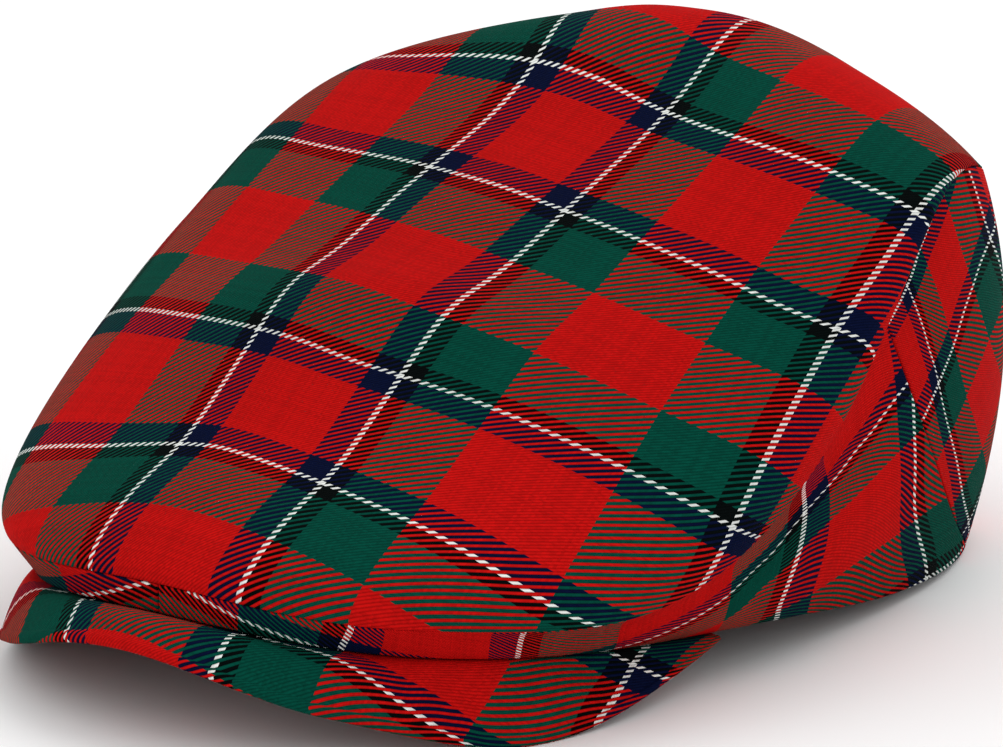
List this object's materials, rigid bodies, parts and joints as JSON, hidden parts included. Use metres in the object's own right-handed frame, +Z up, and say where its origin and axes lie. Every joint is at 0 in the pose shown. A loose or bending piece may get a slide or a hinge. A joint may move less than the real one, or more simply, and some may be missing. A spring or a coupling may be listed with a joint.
{
  "type": "flat cap",
  "caption": "Flat cap of tartan cloth: a one-piece sloping top over side and back panels and a short stiff curved peak, open below for the head.",
  "frame": {"origin": "middle of the cap's box, on the surface that it rests on", "axes": "+Z up, peak towards -Y, wearer's left towards +X"},
  "size_m": [0.1772, 0.2377, 0.1154],
  "materials": {
    "top_cloth": "matte twill tartan",
    "side_cloth": "matte twill tartan",
    "back_cloth": "matte twill tartan on the bias",
    "peak_cloth": "matte twill tartan over a stiff peak"
  },
  "bodies": {
    "root": {"top_panel": "top_cloth", "side_panel_left": "side_cloth", "side_panel_right": "side_cloth", "back_panel": "back_cloth", "peak": "peak_cloth"}
  },
  "joints": []
}
